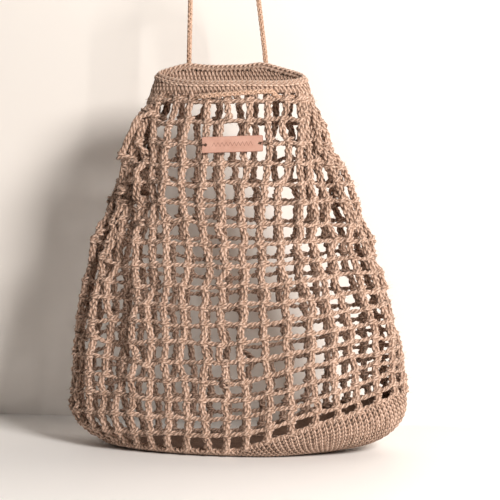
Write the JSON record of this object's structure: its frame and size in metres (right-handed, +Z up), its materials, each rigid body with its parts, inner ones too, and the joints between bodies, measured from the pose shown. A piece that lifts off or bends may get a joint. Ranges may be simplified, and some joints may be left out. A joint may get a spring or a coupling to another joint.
{
  "type": "mesh produce bag",
  "caption": "Crocheted mesh drawstring bag for produce, standing on its oval base with its cord pulled up into a strap and a small leather label in front.",
  "frame": {"origin": "on the table under the middle of the bag's base", "axes": "+Z up, +Y to the back (the label faces -Y), +X to the right of someone looking at the label"},
  "size_m": [0.3441, 0.15, 0.4988],
  "materials": {
    "mesh_yarn": "matte",
    "cord_yarn": "matte",
    "label_leather": "satin",
    "tie_thread": "matte"
  },
  "bodies": {
    "bag": {"base_panel": "mesh_yarn", "base_edge_round": "mesh_yarn", "mesh_wall": "mesh_yarn", "eyelet_round": "mesh_yarn", "rim_band": "mesh_yarn", "rim_edge_chain": "mesh_yarn", "drawstring_run": "cord_yarn", "label_tie_left": "tie_thread", "label_tie_right": "tie_thread"},
    "strap": {"strap_loop": "cord_yarn"},
    "label": {"label_plate": "label_leather"}
  },
  "joints": [
    {"name": "strap_swing", "type": "hinge", "parent": "bag", "child": "strap", "pos_m": [-0.0134, 0.03224, 0.3888], "axis": [1, 0, 0], "range_deg": [-90, 90]},
    {"name": "label_tilt", "type": "hinge", "parent": "bag", "child": "label", "pos_m": [0.0045, -0.04289, 0.305], "axis": [0.9994, 0.008, 0.034], "range_deg": [-12, 12]}
  ]
}
